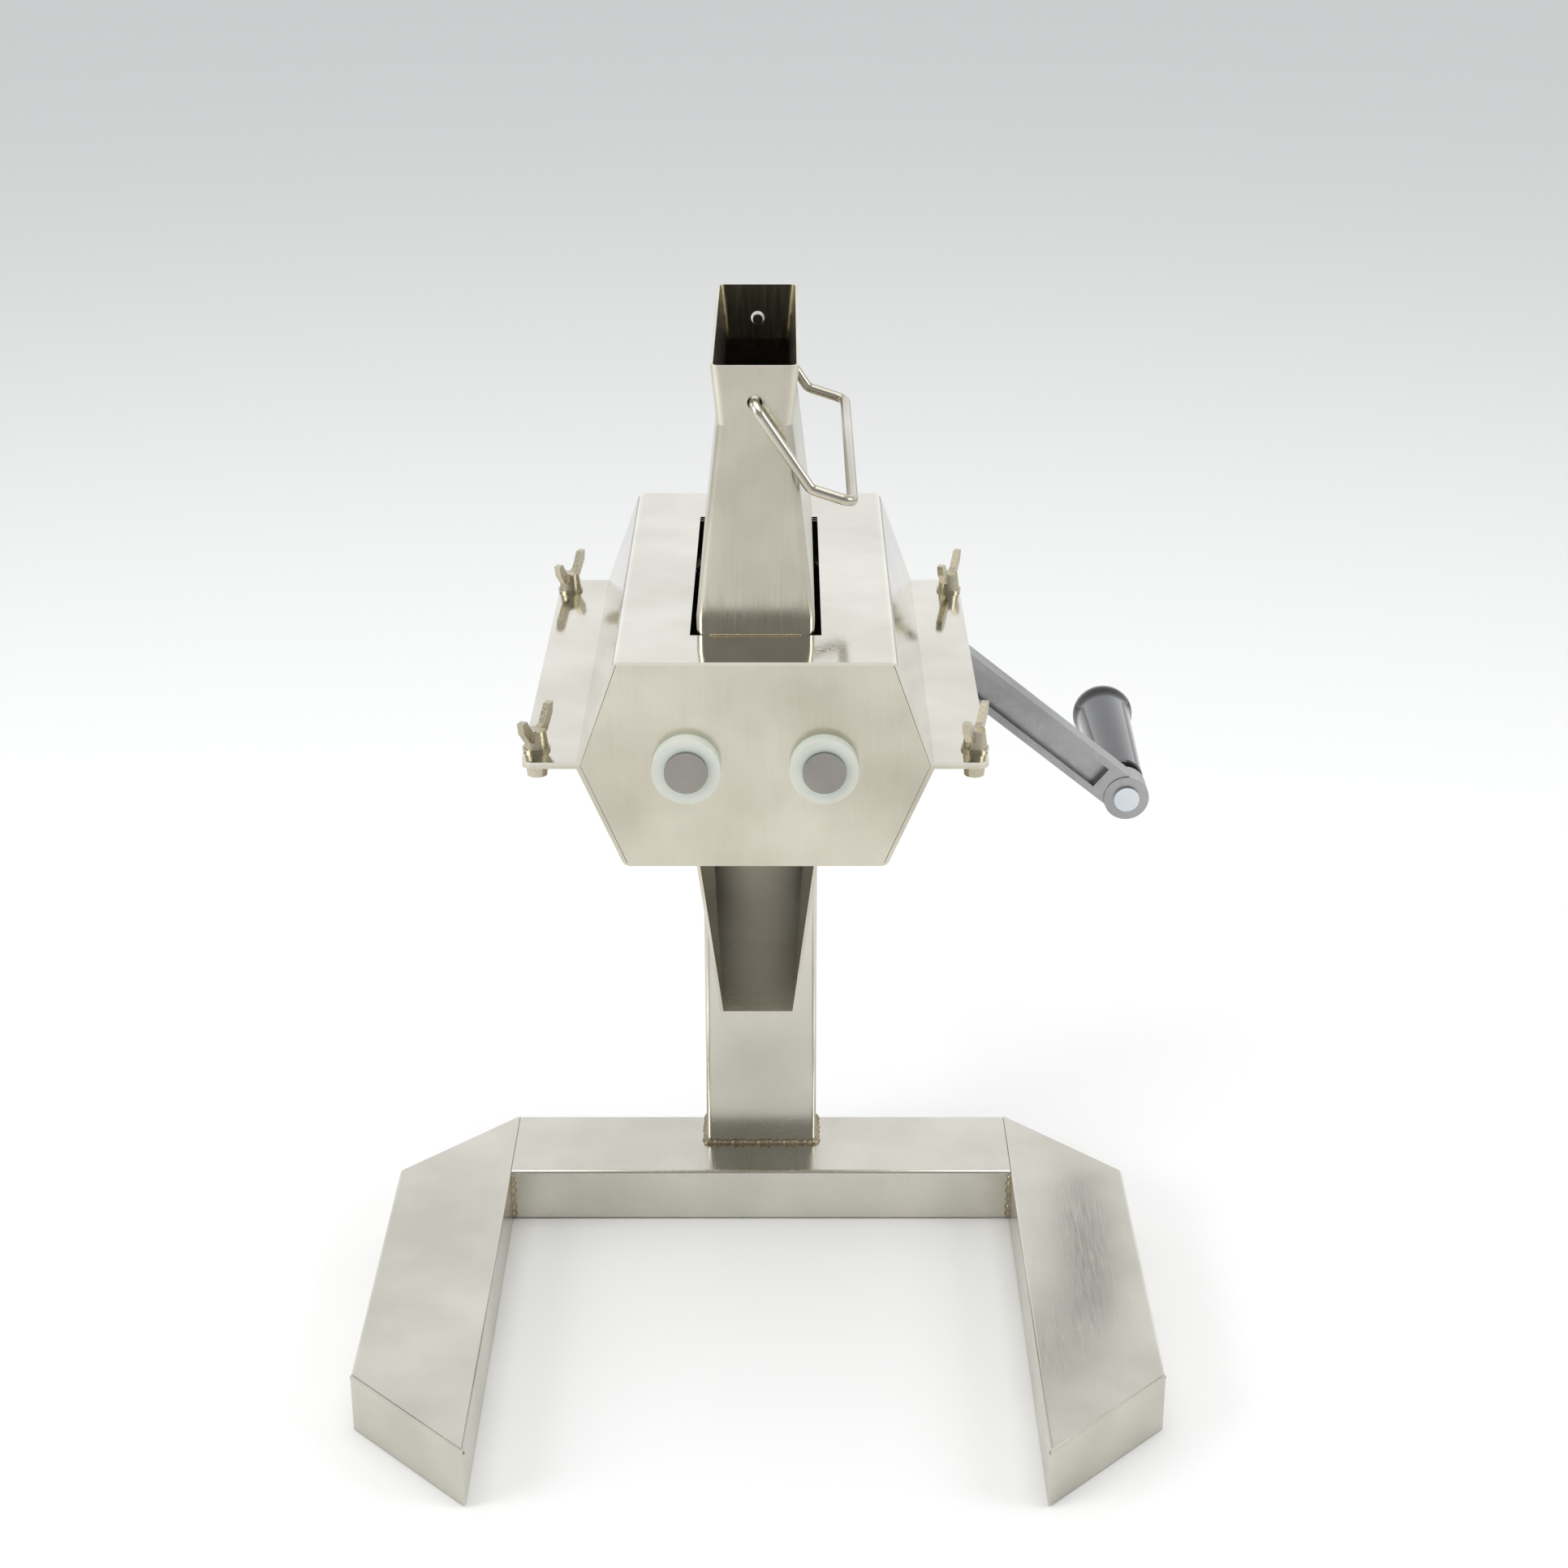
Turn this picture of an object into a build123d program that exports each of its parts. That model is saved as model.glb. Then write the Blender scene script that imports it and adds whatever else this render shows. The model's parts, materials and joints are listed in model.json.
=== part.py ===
"""Hand-cranked meat tenderizer: stand, split roller housing, two bladed rollers, combs and crank."""
from math import cos, degrees, pi, radians, sin
import os

from build123d import *

# ---- driving dimensions, millimetres ---------------------------------------------------------
TUBE_W, TUBE_H, TUBE_WALL = 60, 30, 1.5      # rectangular tube of the base and the column
LEG_INNER, LEG_OUTER = 135, 195              # half-widths of the U base
REAR_Y = 15                                  # rear plane of base, column and housing
LEG_FRONT_Y = -232                           # outer front corner of each leg
HOUSING_Y0 = -231                            # outside of the front plates
SHEET = 1.5                                  # housing sheet thickness
PARTING_Z = 345                              # plane between tray and cover, through the roller axes
SHELL_H = 48                                 # height of tray and of cover
FLANGE_X, FOOT_X = 102, 78                   # half-widths of the flanges and of the wall feet
TRAY_FLOOR_X, COVER_TOP_X = 58, 61           # half-widths of the tray floor and the cover top
PARTITION_Y = -27                            # front face of the partition plates
ROLLER_X = 30                                # roller axes stand this far each side of centre
NOTCH_R, COLLAR_R = 18, 15                   # plate notch, and bore of the half collar in it
REAR_NOTCH_R = 18.5                          # open notch of the drive side in the rear plates
BOLT_X, BOLT_INSET_Y = 96.5, 16              # wing bolt positions
SLOT_X, SLOT_Y0, SLOT_Y1 = 29, -197, -24.5   # feed hole in the cover top
CHUTE_TOP_Z = 121                            # height of the feed chute above the cover
BLADE_COUNT, BLADE_PITCH, BLADE_T = 27, 6.6, 1.2
BLADE_BODY_R, TOOTH_LENGTH, BLADE_TEETH = 19.5, 13.3, 20  # tips reach a radius of 32.5
HELIX = 5                                    # degrees from one blade to the next
BLADE_Y0 = -213.5                            # front face of the idler's first blade
SPACER_R, SHAFT_R = 13, 9.5
GEAR_MODULE, GEAR_TEETH, GEAR_Y0, GEAR_W = 3, 20, -23, 22
SQUARE = 14                                  # drive end of the shaft, across flats
WIRE_R, ROD_R = 1.1, 2.5                     # comb wires and cross rods
RUN = 0.05                                   # radial running clearance

BACK_Y = REAR_Y - SHEET
COVER_TOP_Z = PARTING_Z + SHELL_H
TRAY_FLOOR_Z = PARTING_Z - SHELL_H
FRONT_IN = HOUSING_Y0 + SHEET
os.makedirs("parts", exist_ok=True)


def save(builder, name):
    """Label one finished piece and write it as its own STEP file."""
    builder.part.label = name
    export_step(builder.part, f"parts/{name}.step")


# ---- stand -----------------------------------------------------------------------------------
with BuildPart() as crossbar:
    with BuildSketch(Plane.XY):
        with BuildLine():
            Polyline((-LEG_INNER, REAR_Y), (LEG_INNER, REAR_Y), (LEG_INNER, REAR_Y - TUBE_W),
                     (-LEG_INNER, REAR_Y - TUBE_W), close=True)
        make_face()
    extrude(amount=TUBE_H)
    fillet(crossbar.edges().filter_by(Axis.X), 2)
    with BuildSketch(Plane.YZ.offset(-LEG_INNER)):
        with Locations((REAR_Y - TUBE_W / 2, TUBE_H / 2)):
            Rectangle(TUBE_W - 2 * TUBE_WALL, TUBE_H - 2 * TUBE_WALL)
    extrude(amount=2 * LEG_INNER, mode=Mode.SUBTRACT)
save(crossbar, "base_crossbar")


def make_leg(side):
    """One leg of the U base: chamfered behind, cut at 45 degrees in front, closed by its end plate."""
    outline = [(LEG_INNER, REAR_Y), (LEG_OUTER, REAR_Y - TUBE_W), (LEG_OUTER, LEG_FRONT_Y),
               (LEG_INNER, LEG_FRONT_Y - TUBE_W)]
    with BuildPart() as leg:
        with BuildSketch(Plane.XY):
            with BuildLine():
                Polyline(*[(side * x, y) for x, y in outline], close=True)
            make_face()
        extrude(amount=TUBE_H)
        with BuildSketch(Plane.XY.offset(TUBE_WALL)):
            with BuildLine():
                Polyline(*[(side * x, y) for x, y in outline], close=True)
            make_face()
            offset(amount=-TUBE_WALL, mode=Mode.REPLACE)
        extrude(amount=TUBE_H - 2 * TUBE_WALL, mode=Mode.SUBTRACT)
        fillet(leg.edges().filter_by(Axis.Y).group_by(Axis.Z)[-1], 1.4)
    return leg


def make_end_plate(side):
    """The welded plate that closes the slanted front end of a leg."""
    plate_t = 2
    with BuildPart() as plate:
        with BuildSketch(Plane.XY.offset(0.5)):
            with BuildLine():
                Polyline((side * LEG_INNER, LEG_FRONT_Y - TUBE_W), (side * LEG_OUTER, LEG_FRONT_Y),
                         (side * LEG_OUTER, LEG_FRONT_Y - plate_t * 1.414),
                         (side * LEG_INNER, LEG_FRONT_Y - TUBE_W - plate_t * 1.414), close=True)
            make_face()
        extrude(amount=TUBE_H - 1)
    return plate


for side, word in ((-1, "left"), (1, "right")):
    save(make_leg(side), f"base_leg_{word}")
    save(make_end_plate(side), f"leg_end_plate_{word}")

with BuildPart() as column:
    with BuildSketch(Plane.XY.offset(TUBE_H)):
        RectangleRounded(TUBE_W, TUBE_H, 3)
        RectangleRounded(TUBE_W - 2 * TUBE_WALL, TUBE_H - 2 * TUBE_WALL, 1.5, mode=Mode.SUBTRACT)
    extrude(amount=TRAY_FLOOR_Z - TUBE_H)
save(column, "column")


# ---- housing shells ---------------------------------------------------------------------------
def make_shell(sign, narrow):
    """Bent sheet of the tray (sign -1) or the cover (+1): two flanges, two slanted walls, one flat."""
    z0, z1 = PARTING_Z, PARTING_Z + sign * SHELL_H
    zs, ze = z0 + sign * SHEET, z1 - sign * SHEET
    wall = SHEET * 1.08
    outer = [(FLANGE_X, z0), (FLANGE_X, zs), (FOOT_X, zs), (narrow, z1)]
    inner = [(narrow - wall + 0.5, ze), (FOOT_X - wall, z0)]
    right = outer + [(-x, z) for x, z in reversed(outer)]
    left = [(-x, z) for x, z in reversed(inner)] + inner
    with BuildPart() as shell:
        with BuildSketch(Plane.XZ.offset(-REAR_Y)):
            with BuildLine():
                Polyline(*right, *left, close=True)
            make_face()
        extrude(amount=REAR_Y - HOUSING_Y0)
        outside = [e for e in shell.edges().filter_by(Axis.Y)
                   if abs(e.center().Z - z1) < 0.1 and abs(abs(e.center().X) - narrow) < 0.1]
        fillet(outside, 4)
        corners = [e for e in shell.edges().filter_by(Axis.Z) if abs(abs(e.center().X) - FLANGE_X) < 0.1]
        fillet(corners, 5)
    return shell


def cut_bolt_holes(shell, radius):
    """Four bolt holes through the flanges of a shell."""
    with BuildPart() as drilled:
        add(shell.part)
        with BuildSketch(Plane.XY.offset(PARTING_Z - 5)):
            with Locations((0, (REAR_Y + HOUSING_Y0) / 2)):
                with GridLocations(2 * BOLT_X, REAR_Y - HOUSING_Y0 - 2 * BOLT_INSET_Y, 2, 2):
                    Circle(radius)
        extrude(amount=10, mode=Mode.SUBTRACT)
    return drilled


def make_plate(sign, narrow, y, notches, radius):
    """Trapezoid plate across a shell, with half-round notches for the bearings."""
    wall = SHEET * 1.08 + 0.15
    foot, far = FOOT_X - wall, narrow - wall + 0.4
    z_far = PARTING_Z + sign * (SHELL_H - SHEET)
    with BuildPart() as plate:
        with BuildSketch(Plane.XZ.offset(-y)):
            with BuildLine():
                Polyline((-foot, PARTING_Z), (foot, PARTING_Z), (far, z_far), (-far, z_far), close=True)
            make_face()
            with Locations(*[(x, PARTING_Z) for x in notches]):
                Circle(radius, mode=Mode.SUBTRACT)
        extrude(amount=-SHEET)
    return plate


def make_collars(sign, y, width):
    """Pair of half rings that line the notches of one plate."""
    with BuildPart() as collars:
        with BuildSketch(Plane.XZ.offset(-y)):
            with Locations((-ROLLER_X, PARTING_Z), (ROLLER_X, PARTING_Z)):
                Circle(NOTCH_R)
                Circle(COLLAR_R, mode=Mode.SUBTRACT)
            with Locations((0, PARTING_Z - sign * 25)):
                Rectangle(200, 50, mode=Mode.SUBTRACT)
        extrude(amount=-width)
    return collars


tray_raw = make_shell(-1, TRAY_FLOOR_X)
with BuildPart() as tray:
    add(cut_bolt_holes(tray_raw, 3.1).part)
    with BuildSketch(Plane.XY.offset(TRAY_FLOOR_Z - 5)):
        with Locations((0, (-190 - 16.5) / 2)):
            Rectangle(57, 190 - 16.5)
    extrude(amount=10, mode=Mode.SUBTRACT)
save(tray, "tray_shell")

cover_raw = make_shell(1, COVER_TOP_X)
with BuildPart() as cover:
    add(cut_bolt_holes(cover_raw, 4).part)
    with BuildSketch(Plane.XY.offset(COVER_TOP_Z - 5)):
        with Locations((0, (SLOT_Y0 + SLOT_Y1) / 2)):
            Rectangle(2 * SLOT_X, SLOT_Y1 - SLOT_Y0)
    extrude(amount=10, mode=Mode.SUBTRACT)
save(cover, "cover_shell")

PAIR = (-ROLLER_X, ROLLER_X)
for sign, narrow, name in ((-1, TRAY_FLOOR_X, "tray"), (1, COVER_TOP_X, "cover")):
    save(make_plate(sign, narrow, HOUSING_Y0, PAIR, NOTCH_R), f"{name}_front_plate")
    save(make_plate(sign, narrow, PARTITION_Y, PAIR, NOTCH_R), f"{name}_partition")
    save(make_plate(sign, narrow, BACK_Y, (ROLLER_X,), REAR_NOTCH_R), f"{name}_rear_plate")
    save(make_collars(sign, HOUSING_Y0, 6), f"{name}_front_collars")
    save(make_collars(sign, PARTITION_Y - 2.2, 6), f"{name}_partition_collars")

with BuildPart() as weld_nuts:
    with BuildSketch(Plane.XY.offset(PARTING_Z - SHEET)):
        with Locations((0, (REAR_Y + HOUSING_Y0) / 2)):
            with GridLocations(2 * BOLT_X, REAR_Y - HOUSING_Y0 - 2 * BOLT_INSET_Y, 2, 2):
                Circle(5.4)
                Circle(3.1, mode=Mode.SUBTRACT)
    extrude(amount=-9, taper=6)
save(weld_nuts, "weld_nuts")

# ---- outlet chute: tapered trough under the tray opening ----------------------------------------
CHUTE_Y0, CHUTE_Y1, LIP_Y, LIP_Z, LIP_X = -190, -16.5, -165, 190, 18


def chute_section(inset):
    """Top and lip rectangles of the trough; a positive inset gives its inner face."""
    top = (TUBE_W - 2 * inset, CHUTE_Y0 - inset * 6, CHUTE_Y1 - 2.4 * inset)
    lip = (2 * LIP_X - 2 * inset, LIP_Y - 40 * inset / SHEET, LIP_Y + 4 - 2.4 * inset)
    return top, lip


with BuildPart() as outlet:
    for inset, mode in ((0, Mode.ADD), (SHEET, Mode.SUBTRACT)):
        (top_w, top_y0, top_y1), (lip_w, lip_y0, lip_y1) = chute_section(inset)
        with BuildSketch(Plane.XY.offset(TRAY_FLOOR_Z), mode=Mode.PRIVATE) as top_sketch:
            with Locations((0, (top_y0 + top_y1) / 2)):
                Rectangle(top_w, top_y1 - top_y0)
        with BuildSketch(Plane.XY.offset(LIP_Z), mode=Mode.PRIVATE) as lip_sketch:
            with Locations((0, (lip_y0 + lip_y1) / 2)):
                Rectangle(lip_w, lip_y1 - lip_y0)
        loft([top_sketch.sketch, lip_sketch.sketch], ruled=True, mode=mode)
save(outlet, "outlet_chute")

# ---- feed chute: hourglass neck on the cover ------------------------------------------------------
NECK_Y0 = SLOT_Y0
NECK_LEVELS = ((0, 26, 172.3), (8, 26, 172.3), (95, 16.3, 154), (CHUTE_TOP_Z, 19, 154))
NECK_T = 1.2
BAIL_Z = COVER_TOP_Z + CHUTE_TOP_Z - 16
BAIL_R, BAIL_HOLE_R = 2.4, 3.2

with BuildPart() as neck:
    for inset, mode in ((0, Mode.ADD), (NECK_T, Mode.SUBTRACT)):
        rings = []
        for level, half, depth in NECK_LEVELS:
            with BuildSketch(Plane.XY.offset(COVER_TOP_Z + level), mode=Mode.PRIVATE) as ring:
                with Locations((0, NECK_Y0 + depth / 2)):
                    RectangleRounded(2 * half - 2 * inset, depth - 2 * inset, 4 - inset)
            rings.append(ring.sketch)
        loft(rings, ruled=True, mode=mode)
    with BuildSketch(Plane.XZ.offset(-NECK_Y0 + 5)):
        with Locations((0, BAIL_Z)):
            Circle(BAIL_HOLE_R)
    extrude(amount=-200, mode=Mode.SUBTRACT)
save(neck, "feed_chute")

# bail: bent wire whose ends pass through the two holes of the neck, hanging on the right
BAIL_OUT = 7
BAIL_FRONT, BAIL_REAR = NECK_Y0 - BAIL_OUT, NECK_Y0 + NECK_LEVELS[-1][2] + BAIL_OUT
BAIL_ELBOW, BAIL_BAR = (24, -36), (42, -42)
with BuildPart() as bail:
    with BuildLine(Plane.XY) as bail_path:
        ends = [(0, NECK_Y0 + 5, BAIL_Z), (0, BAIL_FRONT, BAIL_Z)]
        front = [(x, BAIL_FRONT, BAIL_Z + z) for x, z in (BAIL_ELBOW, BAIL_BAR)]
        rear = [(x, BAIL_REAR, z) for x, _, z in reversed(front)]
        tail = [(0, BAIL_REAR, BAIL_Z), (0, BAIL_REAR - BAIL_OUT - 5, BAIL_Z)]
        FilletPolyline(*ends, *front, *rear, *tail, radius=5)
    with BuildSketch(Plane(origin=bail_path.line @ 0, z_dir=bail_path.line % 0)):
        Circle(BAIL_R)
    sweep()
save(bail, "bail_handle")


# ---- rollers --------------------------------------------------------------------------------------
def roller_plane(side, y):
    """Sketch plane across one roller at y, its normal pointing to the rear."""
    return Plane(origin=(side * ROLLER_X, y, PARTING_Z), x_dir=(1, 0, 0), z_dir=(0, 1, 0))


def make_disc(side, y, *steps):
    """Turned piece with a shaft bore: steps are (radius, length) rearwards from y."""
    with BuildPart() as disc:
        at = y
        for radius, length in steps:
            with BuildSketch(roller_plane(side, at)):
                Circle(radius)
            extrude(amount=length)
            at += length
        with BuildSketch(roller_plane(side, y)):
            Circle(SHAFT_R)
        extrude(amount=at - y, mode=Mode.SUBTRACT)
    return disc


def make_shaft(side, y_end):
    """Roller shaft; the drive shaft carries on as a square for the crank."""
    with BuildPart() as shaft:
        with BuildSketch(roller_plane(side, HOUSING_Y0 - 9)):
            Circle(SHAFT_R)
        extrude(amount=y_end - HOUSING_Y0 + 9)
        if side > 0:
            with BuildSketch(roller_plane(side, y_end)):
                RectangleRounded(SQUARE, SQUARE, 2)
            extrude(amount=38)
            chamfer(shaft.faces().sort_by(Axis.Y)[-1].edges(), 1)
    return shaft


def blade_outline():
    """Star blade: round body with slanted parallel-sided teeth."""
    half_w, slant, step = 2.0, radians(28), 2 * pi / BLADE_TEETH
    points = []
    for k in range(BLADE_TEETH):
        turn = step * k
        along, across = Vector(1, 0).rotate(Axis.Z, degrees(turn + slant)), turn + slant + pi / 2
        side_step = Vector(cos(across), sin(across)) * half_w
        root = Vector(BLADE_BODY_R * cos(turn), BLADE_BODY_R * sin(turn))
        tip = root + along * TOOTH_LENGTH
        points += [root - side_step, tip - side_step, tip + side_step + along * -1.2, root + side_step]
    with BuildSketch(Plane.XY) as star:
        with BuildLine():
            Polyline(*[(p.X, p.Y) for p in points], close=True)
        make_face()
        Circle(SHAFT_R, mode=Mode.SUBTRACT)
    return star.sketch


def along_roller(side, y, turn=0):
    """Place on one roller's axis at y, turned about that axis by some degrees."""
    return roller_plane(side, y).location * Location((0, 0, 0), (0, 0, turn))


def make_blades(side, y0):
    """Row of star blades, each turned a little from the last so the tips run in a helix."""
    with BuildPart(mode=Mode.PRIVATE) as blade:
        with BuildSketch():
            add(blade_outline())
        extrude(amount=BLADE_T)
    with BuildPart() as blades:
        places = [along_roller(side, y0 + k * BLADE_PITCH, -side * HELIX * k) for k in range(BLADE_COUNT)]
        with Locations(*places):
            add(blade.part)
    return blades


def make_spacers(side, y0):
    """Rings that keep the blades apart."""
    with BuildPart(mode=Mode.PRIVATE) as ring:
        with BuildSketch():
            Circle(SPACER_R)
            Circle(SHAFT_R, mode=Mode.SUBTRACT)
        extrude(amount=BLADE_PITCH - BLADE_T)
    with BuildPart() as spacers:
        with Locations(*[along_roller(side, y0 + k * BLADE_PITCH + BLADE_T) for k in range(BLADE_COUNT - 1)]):
            add(ring.part)
    return spacers


def make_gear(side, phase):
    """Moulded spur gear with a raised hub ring round its bore."""
    pitch_r = GEAR_MODULE * GEAR_TEETH / 2
    root_r, tip_r = pitch_r - 1.2 * GEAR_MODULE, pitch_r + 0.9 * GEAR_MODULE
    step = 2 * pi / GEAR_TEETH
    flank = ((root_r, -0.31), (pitch_r, -0.225), (tip_r, -0.1),
             (tip_r, 0.1), (pitch_r, 0.225), (root_r, 0.31))
    teeth = [(r, step * (k + share) + phase) for k in range(GEAR_TEETH) for r, share in flank]
    with BuildPart() as gear:
        with BuildSketch(roller_plane(side, GEAR_Y0)):
            with BuildLine():
                Polyline(*[(r * cos(a), r * sin(a)) for r, a in teeth], close=True)
            make_face()
            Circle(SHAFT_R, mode=Mode.SUBTRACT)
        extrude(amount=GEAR_W)
        with BuildSketch(roller_plane(side, GEAR_Y0 + GEAR_W)):
            Circle(SHAFT_R + 5)
            Circle(SHAFT_R, mode=Mode.SUBTRACT)
        extrude(amount=1.5)
    return gear


JOURNAL_R = COLLAR_R - RUN
blade_y = {-1: BLADE_Y0, 1: BLADE_Y0 + BLADE_PITCH / 2}
for side, word in ((-1, "idler"), (1, "drive")):
    y0 = blade_y[side]
    y1 = y0 + (BLADE_COUNT - 1) * BLADE_PITCH + BLADE_T
    shaft_end = GEAR_Y0 + GEAR_W + 2.5 if side < 0 else 24
    save(make_shaft(side, shaft_end), f"{word}_shaft")
    save(make_blades(side, y0), f"{word}_blades")
    save(make_spacers(side, y0), f"{word}_spacers")
    save(make_gear(side, 0 if side < 0 else pi / GEAR_TEETH), f"{word}_gear")
    front_bush = make_disc(side, HOUSING_Y0 - 7, (JOURNAL_R, 13.3), (21.5, y0 - HOUSING_Y0 - 6.3 - 3))
    save(front_bush, f"{word}_front_bush")
    save(make_disc(side, y0 - 3, (16, 3)), f"{word}_end_washer")
    save(make_disc(side, y1, (21.5, -29.5 - y1), (JOURNAL_R, 6.5)), f"{word}_flanged_bush")

save(make_disc(1, GEAR_Y0 + GEAR_W + 1.5, (12, 12 - GEAR_Y0 - GEAR_W - 1.5)), "drive_spacer_tube")
save(make_disc(1, 12, (REAR_NOTCH_R - 2 * RUN, 3.3), (22, 7.5)), "drive_collar_bush")

# ---- combs ------------------------------------------------------------------------------------------
COMB_PROFILE = ((54, 302), (63, 330), (60, 352), (36, 384))
ROD_AT = (2.5, 18.5)


def make_comb_wires(side):
    """Row of bent wires that reach between the blades of one roller."""
    with BuildPart(mode=Mode.PRIVATE) as wire:
        with BuildLine():
            path = FilletPolyline(*[(side * x, 0, z) for x, z in COMB_PROFILE], radius=8)
        with BuildSketch(Plane(origin=path @ 0, z_dir=path % 0)):
            Circle(WIRE_R)
        sweep(path=path)
    y0 = blade_y[side] - (BLADE_PITCH - BLADE_T) / 2
    with BuildPart() as wires:
        with Locations(*[(0, y0 + k * BLADE_PITCH, 0) for k in range(BLADE_COUNT + 1)]):
            add(wire.part)
    return wires


def make_comb_rods(side):
    """Two cross rods that the wires are welded to."""
    (x0, z0), (x1, z1) = COMB_PROFILE[:2]
    run, reach = Vector(x1 - x0, z1 - z0).normalized(), ROD_R + WIRE_R
    with BuildPart() as rods:
        with BuildSketch(Plane.XZ.offset(-FRONT_IN - 4)):
            for along in ROD_AT:
                x = x0 + run.X * along - run.Y * reach
                z = z0 + run.Y * along + run.X * reach
                with Locations((side * x, z)):
                    Circle(ROD_R)
        extrude(amount=-(PARTITION_Y - FRONT_IN - 8))
    return rods


for side, word in ((-1, "left"), (1, "right")):
    save(make_comb_wires(side), f"comb_wires_{word}")
    save(make_comb_rods(side), f"comb_rods_{word}")


# ---- wing bolts and washers ---------------------------------------------------------------------------
WING = ((2, 2), (9, 5), (14.5, 11), (15.5, 16), (11.5, 16), (6, 9), (2, 8))


def make_wing_bolt(seat, shank, name):
    """Wing screw: the shank goes down from its seat plane, the head and two wings stand above."""
    with BuildPart() as bolt:
        with BuildSketch(seat):
            Circle(2.95)
        extrude(amount=-shank)
        with BuildSketch(seat):
            Circle(5.5)
        extrude(amount=8, taper=8)
        blade = Plane(origin=seat.origin, x_dir=seat.x_dir, z_dir=seat.y_dir * -1).offset(-1.5)
        with BuildSketch(blade):
            for mirror_x in (-1, 1):
                with BuildLine():
                    Polyline(*[(mirror_x * x, z) for x, z in WING], close=True)
                make_face()
        extrude(amount=3)
    save(bolt, name)


bolt_seat = PARTING_Z + SHEET + 1.2
WING_BOLT_SHANK = 13
WING_TURN = (0.35, 0.94, 0)
places = [(sx * BOLT_X, y) for y in (HOUSING_Y0 + BOLT_INSET_Y, REAR_Y - BOLT_INSET_Y) for sx in (-1, 1)]
for number, (x, y) in enumerate(places, start=1):
    bolt_plane = Plane(origin=(x, y, bolt_seat), x_dir=WING_TURN, z_dir=(0, 0, 1))
    make_wing_bolt(bolt_plane, WING_BOLT_SHANK, f"wing_bolt_{number}")
with BuildPart() as washers:
    with BuildSketch(Plane.XY.offset(PARTING_Z + SHEET)):
        with Locations(*places):
            Circle(6.2)
            Circle(3.3, mode=Mode.SUBTRACT)
    extrude(amount=1.2)
save(washers, "bolt_washers")

# ---- crank --------------------------------------------------------------------------------------------
CRANK_ANGLE = 50                    # degrees that the hanging arm is turned to the right
CRANK_REACH = 225                   # hub axis to grip axis
HUB_Y, HUB_LENGTH, HUB_R = 27, 30, 16
DROP = Vector(sin(radians(CRANK_ANGLE)), 0, -cos(radians(CRANK_ANGLE)))
HUB_AXIS = Vector(ROLLER_X, 0, PARTING_Z)
ARM_PLANE = Plane(origin=HUB_AXIS, x_dir=(0, 1, 0), z_dir=Vector(0, 1, 0).cross(DROP))
ARM_SIDE = ((31, 10), (45, 10), (52, 24), (72, 64), (84, 218),
            (84, 226), (70, 226), (70, 218), (58, 66), (34, 26))
ARM_RECESS = ((26, 19), (34.5, 19), (40, 30), (63, 68), (73.5, 206), (60, 206), (48, 70), (26, 30))


def axial(distance, y):
    """Plane across the crank's axes, this far out along the arm, its normal to the rear."""
    return Plane(origin=HUB_AXIS + DROP * distance + Vector(0, y, 0), x_dir=DROP, z_dir=(0, 1, 0))


with BuildPart() as crank:
    with BuildSketch(ARM_PLANE):
        with BuildLine():
            Polyline(*ARM_SIDE, close=True)
        make_face()
    extrude(amount=10.5, both=True)
    fillet(crank.edges().filter_by(Axis(HUB_AXIS, ARM_PLANE.z_dir)), 3)
    with BuildSketch(ARM_PLANE):
        with BuildLine():
            Polyline(*ARM_RECESS, close=True)
        make_face()
    extrude(amount=6.5, both=True, mode=Mode.SUBTRACT)
    with BuildSketch(axial(0, HUB_Y)):
        Circle(HUB_R)
    extrude(amount=HUB_LENGTH)
    with BuildSketch(axial(CRANK_REACH, 69)):
        Circle(12.5)
    extrude(amount=16)
    with BuildSketch(roller_plane(1, HUB_Y)):
        Rectangle(SQUARE + 0.1, SQUARE + 0.1)
    extrude(amount=HUB_LENGTH, mode=Mode.SUBTRACT)
    with BuildSketch(axial(CRANK_REACH, 69)):
        Circle(5)
    extrude(amount=16, mode=Mode.SUBTRACT)
    screw_seat = Plane(origin=HUB_AXIS + Vector(0, HUB_Y + 15, 0), x_dir=(0, 1, 0),
                       z_dir=Vector(cos(radians(CRANK_ANGLE)), 0, sin(radians(CRANK_ANGLE))))
    with BuildSketch(screw_seat):
        Circle(3.05)
    extrude(amount=30, mode=Mode.SUBTRACT)
save(crank, "crank_arm")

make_wing_bolt(screw_seat.offset(HUB_R + 4), HUB_R + 4 - SQUARE * 0.5 - 2.2, "crank_wing_screw")

with BuildPart() as stud:
    with BuildSketch(axial(CRANK_REACH, 67)):
        Circle(7)
    extrude(amount=2)
    with BuildSketch(axial(CRANK_REACH, 69)):
        Circle(5)
    extrude(amount=110)
save(stud, "grip_stud")

with BuildPart() as nut:
    with BuildSketch(axial(CRANK_REACH, 85)):
        RegularPolygon(9.8, 6)
        Circle(5, mode=Mode.SUBTRACT)
    extrude(amount=9)
save(nut, "grip_nut")

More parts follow.
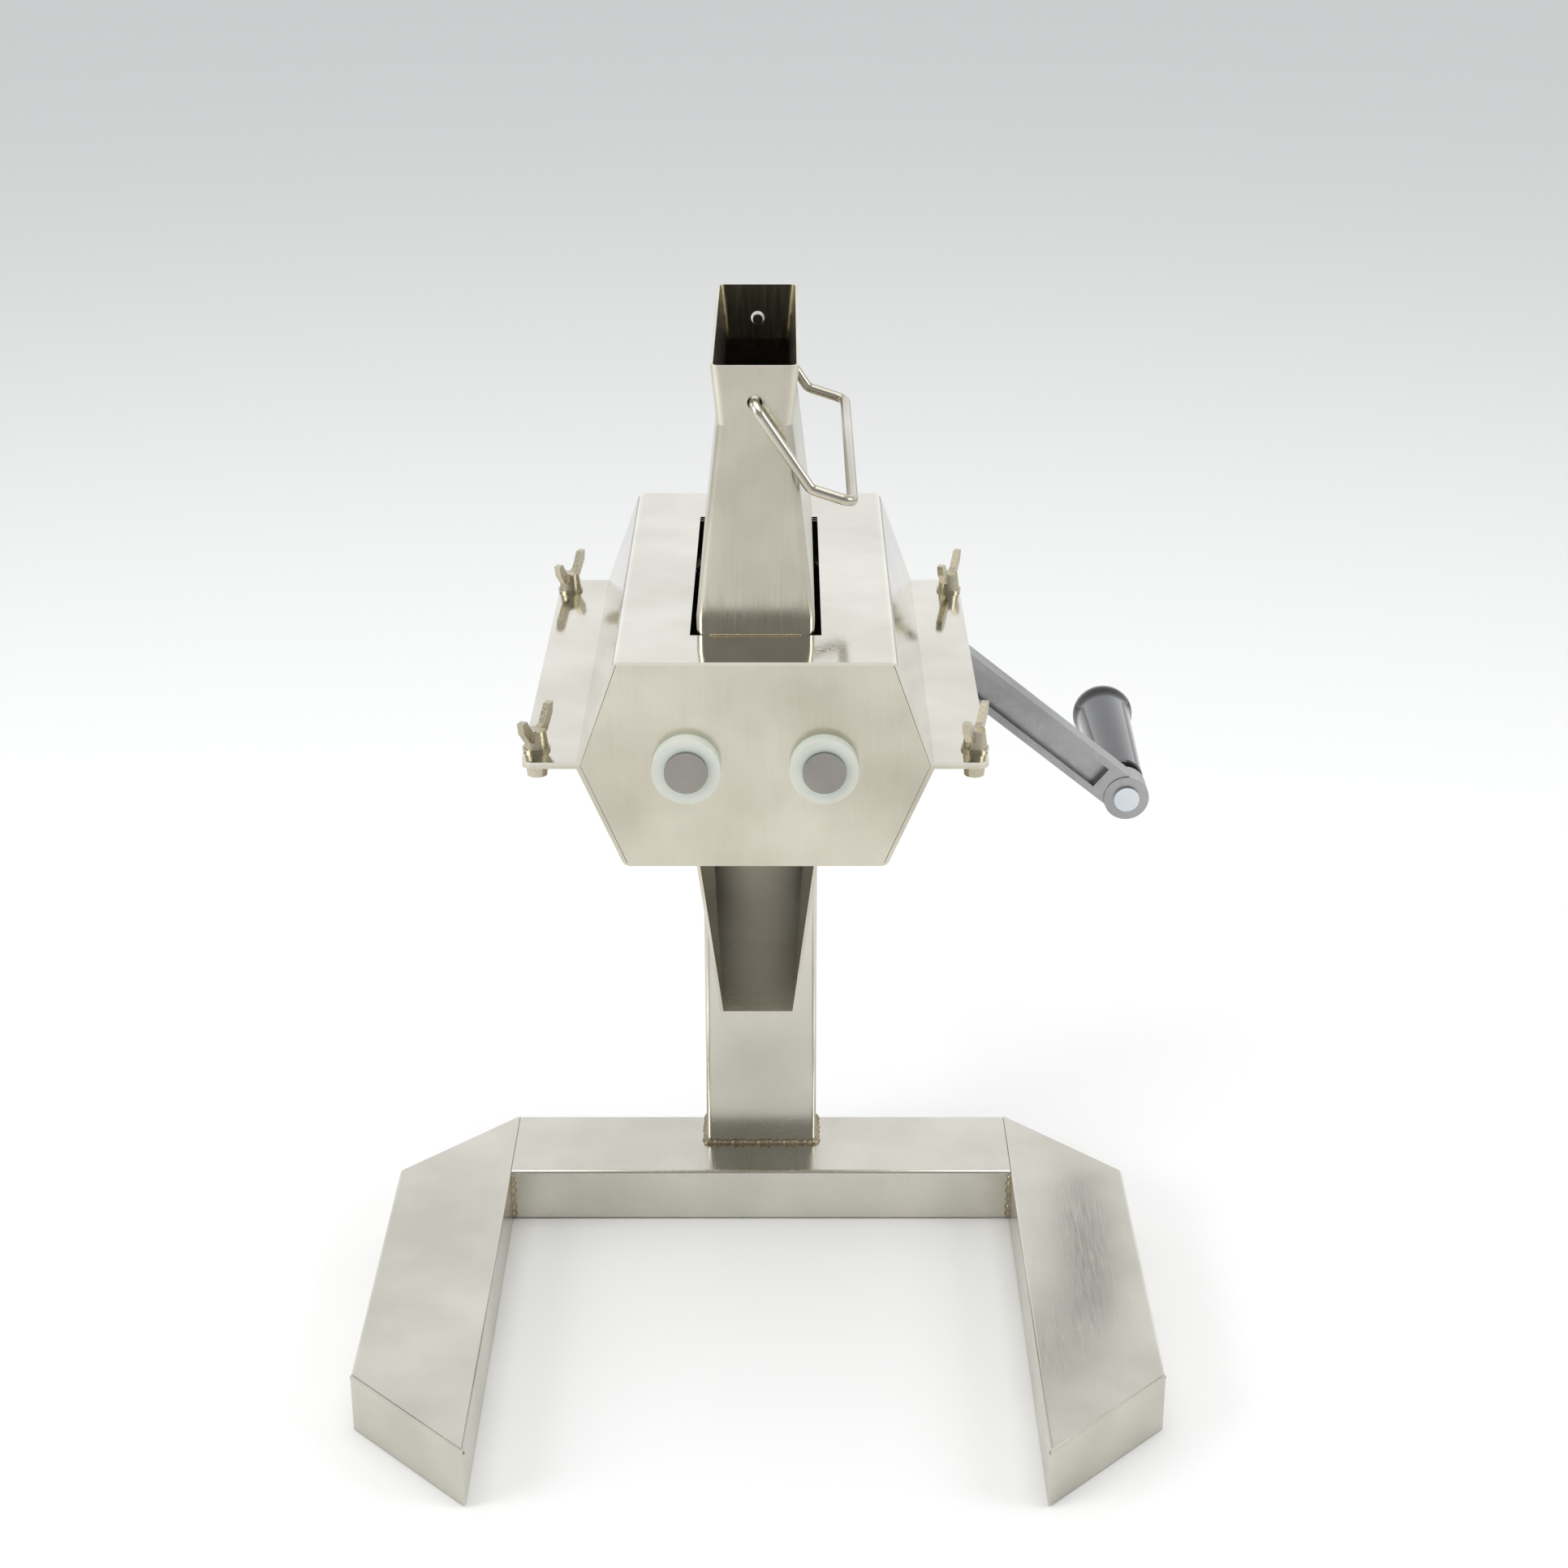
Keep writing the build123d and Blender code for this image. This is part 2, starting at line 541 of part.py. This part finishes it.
GRIP_Y0, GRIP_LENGTH, BORE_DEPTH = 94.4, 112, 88
with BuildPart() as grip:
    with BuildSketch(Plane(origin=HUB_AXIS + DROP * CRANK_REACH + Vector(0, GRIP_Y0, 0), x_dir=DROP,
                           z_dir=DROP.cross(Vector(0, 1, 0)))):
        with BuildLine():
            Polyline((0, 0), (11.5, 0), (12.3, 1.5), (15, GRIP_LENGTH - 26), (15.2, GRIP_LENGTH - 20))
            Spline((15.2, GRIP_LENGTH - 20), (17.6, GRIP_LENGTH - 10), (14, GRIP_LENGTH - 1),
                   (0, GRIP_LENGTH), tangents=[(0, 1), (-1, 0)])
            Line((0, GRIP_LENGTH), (0, 0))
        make_face()
    revolve(axis=Axis(HUB_AXIS + DROP * CRANK_REACH, (0, 1, 0)))
    with BuildSketch(axial(CRANK_REACH, GRIP_Y0)):
        Circle(5 + RUN)
    extrude(amount=BORE_DEPTH, mode=Mode.SUBTRACT)
save(grip, "grip")
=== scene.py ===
"""Looks for a hand-cranked meat tenderizer, laid over its CAD frame."""
import json
from math import cos, pi, radians, sin

import bmesh
import bpy
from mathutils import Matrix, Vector


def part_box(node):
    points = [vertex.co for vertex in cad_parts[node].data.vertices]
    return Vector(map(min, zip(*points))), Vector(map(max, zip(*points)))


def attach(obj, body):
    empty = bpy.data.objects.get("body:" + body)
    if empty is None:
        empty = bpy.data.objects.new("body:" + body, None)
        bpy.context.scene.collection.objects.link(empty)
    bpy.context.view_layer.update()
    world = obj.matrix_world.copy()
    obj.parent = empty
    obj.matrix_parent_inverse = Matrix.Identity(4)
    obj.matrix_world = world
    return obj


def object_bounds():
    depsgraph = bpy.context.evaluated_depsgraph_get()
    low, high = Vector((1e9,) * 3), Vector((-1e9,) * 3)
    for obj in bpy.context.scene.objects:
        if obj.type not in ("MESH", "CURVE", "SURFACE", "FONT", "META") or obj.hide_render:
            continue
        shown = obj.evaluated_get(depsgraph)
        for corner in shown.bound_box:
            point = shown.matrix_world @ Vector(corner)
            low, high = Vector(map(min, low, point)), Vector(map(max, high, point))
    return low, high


bl_info = {
    "name": "Meat Tenderizer",
    "version": (1, 0, 0),
    "blender": (4, 5, 0),
    "location": "View3D > Sidebar > Tenderizer",
    "description": "Steel, nylon, welds and studio for a hand-cranked meat tenderizer",
    "category": "Object",
}

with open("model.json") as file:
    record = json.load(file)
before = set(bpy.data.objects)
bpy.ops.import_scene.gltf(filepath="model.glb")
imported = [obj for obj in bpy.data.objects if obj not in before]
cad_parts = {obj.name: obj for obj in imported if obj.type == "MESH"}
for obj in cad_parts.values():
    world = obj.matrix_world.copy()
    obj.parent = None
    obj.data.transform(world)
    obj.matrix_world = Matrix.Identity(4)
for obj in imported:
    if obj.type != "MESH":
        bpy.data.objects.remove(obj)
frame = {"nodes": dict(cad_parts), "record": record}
CAD_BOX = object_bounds()
MM = 0.001


# ---- small helpers ---------------------------------------------------------------------------
def colour(code):
    """Linear RGBA from an sRGB hex code."""
    parts = [int(code[i:i + 2], 16) / 255 for i in (0, 2, 4)]
    return [c / 12.92 if c <= 0.04045 else ((c + 0.055) / 1.055) ** 2.4 for c in parts] + [1.0]


def add_node(tree, kind, inputs=(), **settings):
    """Add one node, set its properties, then its sockets or links."""
    node = tree.nodes.new(kind)
    for name, value in settings.items():
        setattr(node, name, value)
    for name, value in dict(inputs).items():
        if isinstance(value, bpy.types.NodeSocket):
            tree.links.new(value, node.inputs[name])
        else:
            node.inputs[name].default_value = value
    return node


def surface(name, dark, light, metallic, rough, grain_mm, stretch=(1, 1, 1), bump=0.1, **shader):
    """Procedural surface: large soft tone drift, fine grain in roughness and in bump."""
    mat = bpy.data.materials.new(name)
    mat.use_nodes = True
    tree = mat.node_tree
    tree.nodes.clear()
    where = add_node(tree, "ShaderNodeTexCoord")
    spread = add_node(tree, "ShaderNodeMapping", {"Vector": where.outputs["Object"], "Scale": stretch})
    drift = add_node(tree, "ShaderNodeTexNoise", {"Vector": where.outputs["Object"], "Scale": 1 / (60 * MM),
                                                  "Detail": 3.0})
    grain = add_node(tree, "ShaderNodeTexNoise", {"Vector": spread.outputs["Vector"],
                                                  "Scale": 1 / (grain_mm * MM), "Detail": 4.0})
    tone = add_node(tree, "ShaderNodeMapRange",
                    {"Value": drift.outputs["Fac"], "From Min": 0.3, "From Max": 0.7})
    mix = add_node(tree, "ShaderNodeMix", {"Factor": tone.outputs["Result"], "A": colour(dark),
                                           "B": colour(light)}, data_type="RGBA")
    roughness = add_node(tree, "ShaderNodeMapRange", {"Value": grain.outputs["Fac"], "To Min": rough[0],
                                                      "To Max": rough[1], "From Min": 0.3, "From Max": 0.7})
    relief = add_node(tree, "ShaderNodeBump", {"Height": grain.outputs["Fac"], "Strength": bump,
                                               "Distance": 0.1 * MM})
    body = add_node(tree, "ShaderNodeBsdfPrincipled", {"Base Color": mix.outputs[2], "Metallic": metallic,
                                                       "Roughness": roughness.outputs["Result"],
                                                       "Normal": relief.outputs["Normal"], **shader})
    out = add_node(tree, "ShaderNodeOutputMaterial", {"Surface": body.outputs["BSDF"]})
    out.location = (400, 0)
    return mat


# ---- materials: each from the real stuff and how it was made -----------------------------------
def make_materials():
    """One material for each finish on the machine."""
    return {
        # stainless sheet, satin-rolled: soft straw-grey reflections with fine lines up and down
        "sheet": surface("Stainless sheet, satin", "B9B4A4", "D6D1C2", 1.0,
                         (0.16, 0.27), 1.2, (1, 1, 0.06), 0.05),
        # stainless sheet, buffed: nearly a mirror, faint polishing haze
        "mirror": surface("Stainless sheet, buffed", "C4C0B4", "DAD7CC", 1.0,
                          (0.06, 0.14), 2.0, (1, 1, 1), 0.03),
        # stainless tube, linished: cool light grey with long lines
        "tube": surface("Stainless tube, linished", "C3C0B5", "D6D3C8", 1.0,
                        (0.2, 0.28), 0.9, (1, 0.05, 1), 0.02),
        # spring wire, drawn: small bright highlights
        "wire": surface("Stainless wire, drawn", "A8A294", "CBC6B8", 1.0, (0.18, 0.3), 0.8, (1, 1, 1), 0.08),
        # blade steel, stamped, with bright burrs: the dark brownish grey is painted shade, the shade and
        # inner reflections inside the housing put into the colour
        "blade": surface("Blade steel, painted shade", "6A624F", "938A70", 1.0, (0.3, 0.45), 0.9, (1, 1, 1), 0.15),
        # nylon, cast: waxy cream with soft light inside
        "gear": surface("Cast nylon, cream", "E8E0B4", "F3EDCB", 0.0, (0.38, 0.5), 1.5, (1, 1, 1), 0.12,
                        IOR=1.53, **{"Subsurface Weight": 0.25, "Subsurface Scale": 0.004}),
        # nylon, moulded natural: milky, faintly green
        "bush": surface("Moulded nylon, natural", "D3D9CF", "E6EAE0", 0.0, (0.3, 0.42), 1.5, (1, 1, 1), 0.08,
                        IOR=1.53, **{"Subsurface Weight": 0.3, "Subsurface Scale": 0.004}),
        # aluminium, sand-cast and tumbled: mottled grey, worn smooth
        "cast": surface("Cast aluminium, tumbled", "8A8A8A", "B4B4B4", 1.0,
                        (0.28, 0.46), 1.6, (1, 1, 1), 0.5),
        # zinc plate, bright: cold bluish white
        "zinc": surface("Zinc plate, bright", "B9C0C6", "D5DADE", 1.0, (0.15, 0.28), 1.0, (1, 1, 1), 0.08),
        # nickel plate over a stamped wing: warm and slightly pitted
        "nickel": surface("Nickel plate, stamped", "A39B86", "C4BDA8", 1.0, (0.2, 0.36), 1.0, (1, 1, 1), 0.3),
        # steel bar, turned: plain mid grey
        "bar": surface("Steel bar, turned", "85827C", "A6A39B", 1.0, (0.25, 0.38), 0.8, (1, 0.1, 1), 0.15),
        # phenolic, moulded: deep black gloss
        "phenolic": surface("Phenolic, moulded black", "070708", "0D0D0E", 0.0,
                            (0.06, 0.14), 3.0, (1, 1, 1), 0.03,
                            IOR=1.6, **{"Coat Weight": 0.5, "Coat Roughness": 0.05}),
        # TIG bead, unground: rippled, straw and brown heat tint
        "weld": surface("TIG bead, unground", "7C6F57", "B8AD94", 1.0, (0.25, 0.45), 1.4, (1, 1, 1), 0.6),
    }


FINISHES = {}


def finish_for(node):
    """Name of the finish that one CAD node takes."""
    exact = {"cover_shell": "mirror", "column": "tube", "crank_arm": "cast", "grip": "phenolic",
             "grip_stud": "zinc", "grip_nut": "zinc", "bail_handle": "wire", "drive_shaft": "bar",
             "idler_shaft": "bar", "drive_spacer_tube": "bar", "weld_nuts": "nickel",
             "bolt_washers": "nickel", "crank_wing_screw": "nickel"}
    if node in exact:
        return exact[node]
    rules = (("base_", "tube"), ("leg_end", "tube"), ("wing_bolt", "nickel"), ("comb_", "wire"))
    for start, finish in rules:
        if node.startswith(start):
            return finish
    for end, finish in (("_blades", "blade"), ("_gear", "gear"), ("_bush", "bush"), ("_spacers", "bar")):
        if node.endswith(end):
            return finish
    return "sheet"


# ---- swept beads ------------------------------------------------------------------------------
def bead(name, points, radius, ripple, body, finish, closed=False, sides=10):
    """Rippled round bead along straight runs, as a weld or a rolled rim."""
    runs = list(zip(points, points[1:] + points[:1])) if closed else list(zip(points, points[1:]))
    centres = []
    for start, end in runs:
        start, end = Vector(start), Vector(end)
        count = max(2, int((end - start).length / (radius * 0.7)))
        centres += [start.lerp(end, k / count) for k in range(count)]
    if not closed:
        centres.append(Vector(points[-1]))
    mesh = bmesh.new()
    rings = []
    total = len(centres)
    for k, centre in enumerate(centres):
        before = centres[(k - 1) % total] if closed or k else centre
        after = centres[(k + 1) % total] if closed or k < total - 1 else centre
        along = (after - before).normalized()
        side = along.orthogonal().normalized()
        across = along.cross(side)
        swell = radius * (1 + ripple * sin(k * 1.9) + 0.5 * ripple * sin(k * 0.63))
        rings.append([mesh.verts.new(centre + (side * cos(a) + across * sin(a)) * swell)
                      for a in (2 * pi * s / sides for s in range(sides))])
    pairs = list(zip(rings, rings[1:])) + ([(rings[-1], rings[0])] if closed else [])
    for low, high in pairs:
        shift = min(range(sides), key=lambda t: (high[t].co - low[0].co).length)
        for s in range(sides):
            mesh.faces.new((low[s], low[(s + 1) % sides],
                            high[(s + 1 + shift) % sides], high[(s + shift) % sides]))
    if not closed:
        mesh.faces.new(list(reversed(rings[0])))
        mesh.faces.new(rings[-1])
    bmesh.ops.recalc_face_normals(mesh, faces=mesh.faces)
    data = bpy.data.meshes.new(name)
    mesh.to_mesh(data)
    mesh.free()
    data.shade_smooth()
    piece = bpy.data.objects.new(name, data)
    bpy.context.scene.collection.objects.link(piece)
    data.materials.append(FINISHES[finish])
    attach(piece, body)
    return piece


class TENDERIZER_Sizes(bpy.types.PropertyGroup):
    """Sizes and tones a user would change."""
    weld_radius: bpy.props.FloatProperty(name="Weld radius", description="Radius of the weld beads",
                                         default=2.0 * MM, unit="LENGTH")
    floor_tone: bpy.props.FloatVectorProperty(name="Floor tone", description="Colour of the studio floor",
                                              default=(0.92, 0.92, 0.91), subtype="COLOR")
    light_power: bpy.props.FloatProperty(name="Light power", description="Power of the main softbox",
                                         default=24.0, unit="POWER")


class TENDERIZER_OT_finishes(bpy.types.Operator):
    """Give every CAD node its real finish"""
    bl_idname = "tenderizer.finishes"
    bl_label = "Finishes"

    def execute(self, context):
        FINISHES.update(make_materials())
        for name in frame["nodes"]:
            piece = bpy.data.objects[name]
            piece.data.materials.clear()
            piece.data.materials.append(FINISHES[finish_for(name)])
        return {"FINISHED"}


class TENDERIZER_OT_welds(bpy.types.Operator):
    """Lay the visible weld beads on stand and housing"""
    bl_idname = "tenderizer.welds"
    bl_label = "Welds"

    def execute(self, context):
        r = context.scene.tenderizer.weld_radius
        (cx0, cy0, cz0), (cx1, cy1, _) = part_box("column")
        foot = [(cx0, cy0, cz0), (cx1, cy0, cz0), (cx1, cy1 - r, cz0), (cx0, cy1 - r, cz0)]
        bead("column_foot_weld", foot, r, 0.22, "stand", "weld", closed=True)
        (_, by0, _), (_, _, bz1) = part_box("base_crossbar")
        for side, word in ((-1, "left"), (1, "right")):
            low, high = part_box(f"base_leg_{word}")
            inner = high[0] if side < 0 else low[0]
            bead(f"corner_weld_{word}", [(inner, by0, r), (inner, by0, bz1 - r)], r, 0.3, "stand",
                 "weld")
            plate_low, plate_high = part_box(f"leg_end_plate_{word}")
            outer = plate_low[0] if side < 0 else plate_high[0]
            tip_y, heel_y = low[1], low[1] + (high[0] - low[0])
            edge = [(inner, tip_y, bz1 - r), (outer, heel_y, bz1 - r)]
            bead(f"end_plate_weld_{word}", edge, r * 0.45, 0.25, "stand", "weld")
        (nx0, ny0, nz0), (nx1, _, _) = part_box("feed_chute")
        bead("feed_chute_weld", [(nx0 + 3 * r, ny0, nz0), (nx1 - 3 * r, ny0, nz0)], r * 0.4, 0.2, "cover",
             "weld")
        (_, py0, pz0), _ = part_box("tray_partition")
        bead("tray_floor_weld", [(-28 * MM, py0, pz0 + r), (28 * MM, py0, pz0 + r)], r * 0.9, 0.35, "stand",
             "weld")
        return {"FINISHED"}


class TENDERIZER_OT_threads(bpy.types.Operator):
    """Cut the look of a thread round the crank screw's bare shank"""
    bl_idname = "tenderizer.threads"
    bl_label = "Threads"

    def execute(self, context):
        for joint in frame["record"]["behaviour"]["joints"]:
            if joint["name"] != "crank_screw_turn":
                continue
            axis, origin = Vector(joint["axis"]), Vector(joint["pos_m"])
            side = axis.orthogonal().normalized()
            across = axis.cross(side)
            turns, pitch, shank = 4, 1.0 * MM, 2.95 * MM
            points = []
            for k in range(turns * 16 + 1):
                angle = 2 * pi * k / 16
                lift = 16.0 * MM + pitch * k / 16
                points.append(tuple(origin + axis * lift + (side * cos(angle) + across * sin(angle)) * shank))
            bead("crank_screw_thread", points, 0.3 * MM, 0.0, joint["child"], "nickel", sides=6)
        return {"FINISHED"}


class TENDERIZER_OT_stage(bpy.types.Operator):
    """Pale floor, soft boxes and the camera"""
    bl_idname = "tenderizer.stage"
    bl_label = "Stage"

    def execute(self, context):
        low, high = (Vector(corner) for corner in CAD_BOX)
        middle = (low + high) / 2
        floor_mesh = bpy.data.meshes.new("studio_floor")
        span = 30.0
        floor_mesh.from_pydata([(-span, -span, 0), (span, -span, 0), (span, span, 0), (-span, span, 0)], [],
                               [(0, 1, 2, 3)])
        floor = bpy.data.objects.new("studio_floor", floor_mesh)
        floor.location.z = low.z - 0.0003
        tone = context.scene.tenderizer.floor_tone
        paper = bpy.data.materials.new("Studio paper, matt")
        paper.use_nodes = True
        paper.node_tree.nodes["Principled BSDF"].inputs["Base Color"].default_value = (*tone, 1)
        paper.node_tree.nodes["Principled BSDF"].inputs["Roughness"].default_value = 0.9
        floor_mesh.materials.append(paper)
        context.scene.collection.objects.link(floor)
        power = context.scene.tenderizer.light_power
        boxes = (("overhead_box", (0, -0.3, 2.2), 2.2, power),
                 ("left_box", (-1.9, -0.9, 1.1), 1.1, power * 0.7),
                 ("right_box", (1.9, -0.6, 1.3), 0.9, power * 0.4))
        for name, place, size, watts in boxes:
            light = bpy.data.lights.new(name, "AREA")
            light.energy, light.size = watts, size
            lamp = bpy.data.objects.new(name, light)
            lamp.location = place
            lamp.rotation_euler = (middle - Vector(place)).to_track_quat("-Z", "Y").to_euler()
            context.scene.collection.objects.link(lamp)
        world = bpy.data.worlds.new("studio_air")
        world.use_nodes = True
        air = world.node_tree
        way = add_node(air, "ShaderNodeTexCoord")
        parts = add_node(air, "ShaderNodeSeparateXYZ", {"Vector": way.outputs["Generated"]})
        back = add_node(air, "ShaderNodeMapRange", {"Value": parts.outputs["Y"], "From Min": -0.6,
                                                    "From Max": 0.75, "To Min": 0.42, "To Max": 1.25})
        up = add_node(air, "ShaderNodeMapRange", {"Value": parts.outputs["Z"], "From Min": 0.1,
                                                  "From Max": 0.9, "To Min": 1.0, "To Max": 0.7})
        both = add_node(air, "ShaderNodeMath", operation="MULTIPLY")
        air.links.new(back.outputs["Result"], both.inputs[0])
        air.links.new(up.outputs["Result"], both.inputs[1])
        air.links.new(both.outputs["Value"], air.nodes["Background"].inputs["Strength"])
        air.nodes["Background"].inputs["Color"].default_value = (0.97, 0.98, 1.0, 1)
        context.scene.world = world
        context.scene.view_settings.view_transform = "Standard"
        lens = bpy.data.cameras.new("camera")
        lens.lens, lens.sensor_width = 64.0, 36.0
        camera = bpy.data.objects.new("camera", lens)
        pitch, distance = radians(23), 1.42
        camera.location = middle + Vector((0, -cos(pitch), sin(pitch))) * distance
        camera.rotation_euler = (middle - camera.location).to_track_quat("-Z", "Y").to_euler()
        context.scene.collection.objects.link(camera)
        context.scene.camera = camera
        return {"FINISHED"}


class TENDERIZER_PT_panel(bpy.types.Panel):
    """Lists the sizes and the steps that build the looks"""
    bl_idname = "TENDERIZER_PT_panel"
    bl_label = "Meat Tenderizer"
    bl_space_type = "VIEW_3D"
    bl_region_type = "UI"
    bl_category = "Tenderizer"

    def draw(self, context):
        for name in ("weld_radius", "floor_tone", "light_power"):
            self.layout.prop(context.scene.tenderizer, name)
        for step in STEPS:
            self.layout.operator(step.bl_idname)


STEPS = (TENDERIZER_OT_finishes, TENDERIZER_OT_welds, TENDERIZER_OT_threads, TENDERIZER_OT_stage)
CLASSES = (TENDERIZER_Sizes, *STEPS, TENDERIZER_PT_panel)


def register():
    """Register the classes and hang the sizes on the scene."""
    for item in CLASSES:
        bpy.utils.register_class(item)
    bpy.types.Scene.tenderizer = bpy.props.PointerProperty(type=TENDERIZER_Sizes)


def unregister():
    """Take everything away again."""
    del bpy.types.Scene.tenderizer
    for item in reversed(CLASSES):
        bpy.utils.unregister_class(item)


def main():
    """Build the looks in order."""
    register()
    bpy.ops.tenderizer.finishes()
    bpy.ops.tenderizer.welds()
    bpy.ops.tenderizer.threads()
    bpy.ops.tenderizer.stage()


if __name__ == "__main__":
    main()
